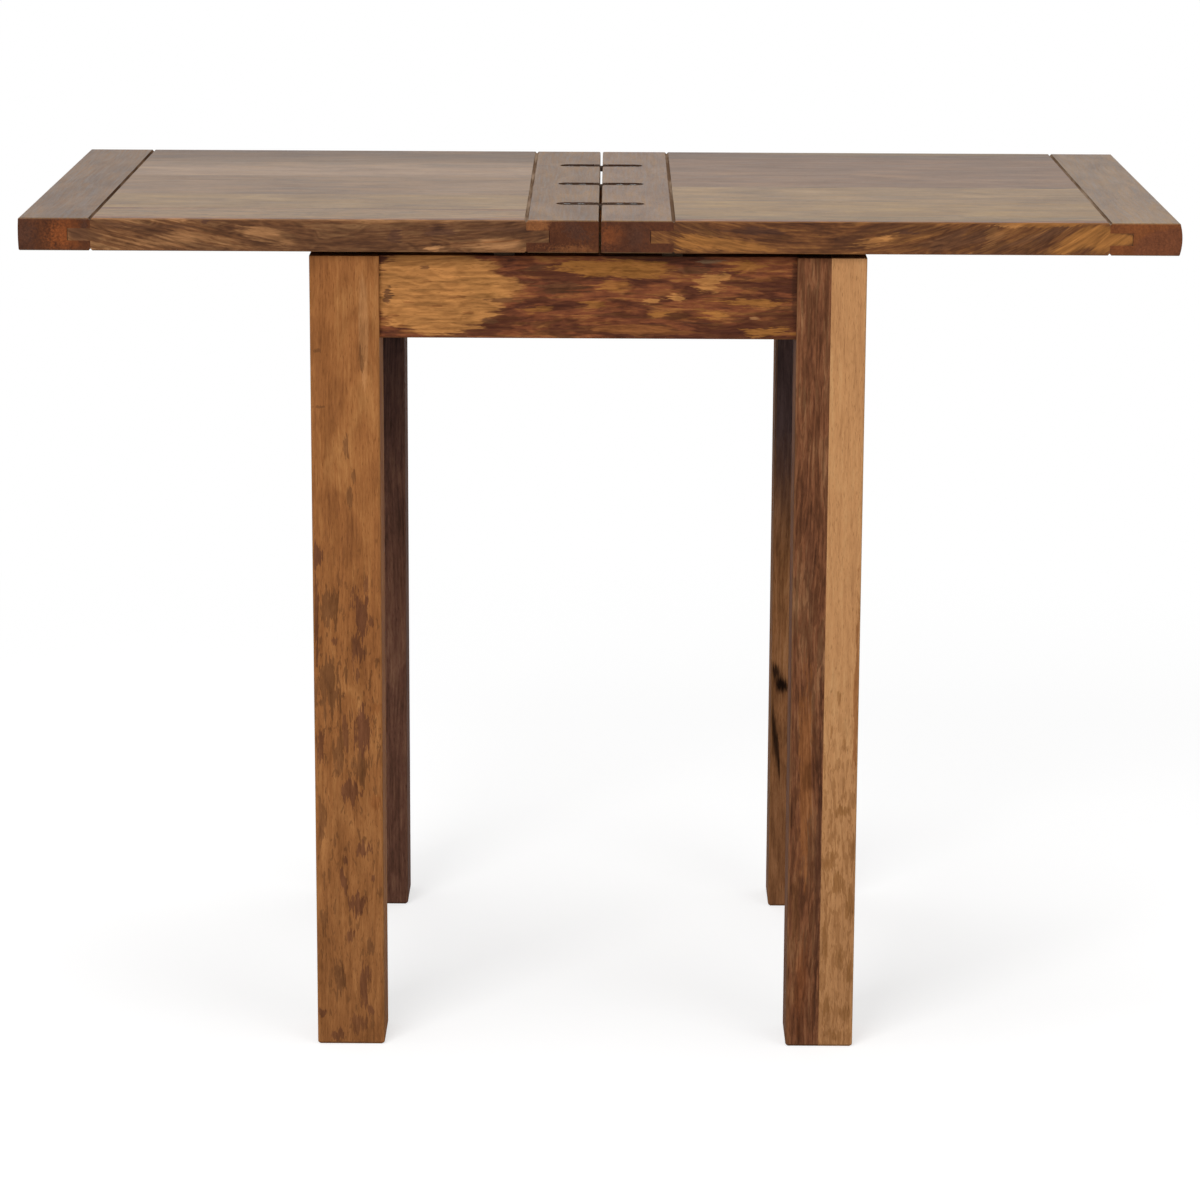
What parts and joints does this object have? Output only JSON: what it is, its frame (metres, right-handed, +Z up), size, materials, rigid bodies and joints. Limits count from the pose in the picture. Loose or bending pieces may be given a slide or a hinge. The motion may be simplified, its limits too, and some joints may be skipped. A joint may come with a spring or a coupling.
{
  "type": "butterfly extension table",
  "caption": "Square-legged wooden table with a folding top that turns on an off-centre pivot and opens out into a long tabletop.",
  "frame": {"origin": "on the floor, under the middle of the seam between the open leaves", "axes": "+X along the open top to the right, +Y from the front to the back, +Z up"},
  "size_m": [1.03, 0.515, 0.771],
  "materials": {
    "plank_wood": "oiled reclaimed boards, satin",
    "cross_wood": "oiled reclaimed boards, satin",
    "leg_wood": "oiled, satin",
    "apron_wood": "oiled, satin",
    "inner_wood": "unfinished",
    "hinge_metal": "aged, dull",
    "steel": "zinc plated",
    "felt": "pressed felt",
    "slip_plastic": "matt"
  },
  "bodies": {
    "frame": {"apron_back": "apron_wood", "apron_front": "apron_wood", "apron_left": "apron_wood", "apron_right": "apron_wood", "corner_block_back_left": "inner_wood", "corner_block_back_right": "inner_wood", "corner_block_front_left": "inner_wood", "corner_block_front_right": "inner_wood", "glide_pads": "felt", "leg_back_left": "leg_wood", "leg_back_right": "leg_wood", "leg_front_left": "leg_wood", "leg_front_right_inner_strip": "leg_wood", "leg_front_right_outer_strip": "leg_wood", "pivot_board": "inner_wood", "slip_ring": "slip_plastic"},
    "turning_leaf": {"pivot_nut": "steel", "pivot_plate": "steel", "pivot_washer": "steel", "right_hinge_plate_back": "hinge_metal", "right_hinge_plate_front": "hinge_metal", "right_hinge_plate_middle": "hinge_metal", "right_inner_cross_board": "cross_wood", "right_outer_cross_board": "cross_wood", "right_plank_1": "plank_wood", "right_plank_2": "plank_wood", "right_plank_3": "plank_wood", "right_plank_4": "plank_wood", "right_plank_5": "plank_wood", "right_plank_6": "plank_wood"},
    "hinge_links": {"hinge_link_back": "hinge_metal", "hinge_link_front": "hinge_metal", "hinge_link_middle": "hinge_metal", "hinge_pins": "hinge_metal"},
    "folding_leaf": {"left_hinge_plate_back": "hinge_metal", "left_hinge_plate_front": "hinge_metal", "left_hinge_plate_middle": "hinge_metal", "left_inner_cross_board": "cross_wood", "left_outer_cross_board": "cross_wood", "left_plank_1": "plank_wood", "left_plank_2": "plank_wood", "left_plank_3": "plank_wood", "left_plank_4": "plank_wood", "left_plank_5": "plank_wood"}
  },
  "joints": [
    {"name": "top_turn", "type": "hinge", "parent": "frame", "child": "turning_leaf", "pos_m": [0.12355, -0.13395, 0.737], "axis": [0, 0, 1], "range_deg": [0, 90]},
    {"name": "link_fold", "type": "hinge", "parent": "turning_leaf", "child": "hinge_links", "pos_m": [0.0032, 0, 0.768], "axis": [0, 1, 0], "range_deg": [0, 90]},
    {"name": "leaf_fold", "type": "hinge", "parent": "hinge_links", "child": "folding_leaf", "pos_m": [-0.0032, 0, 0.768], "axis": [0, 1, 0], "range_deg": [0, 90]}
  ]
}
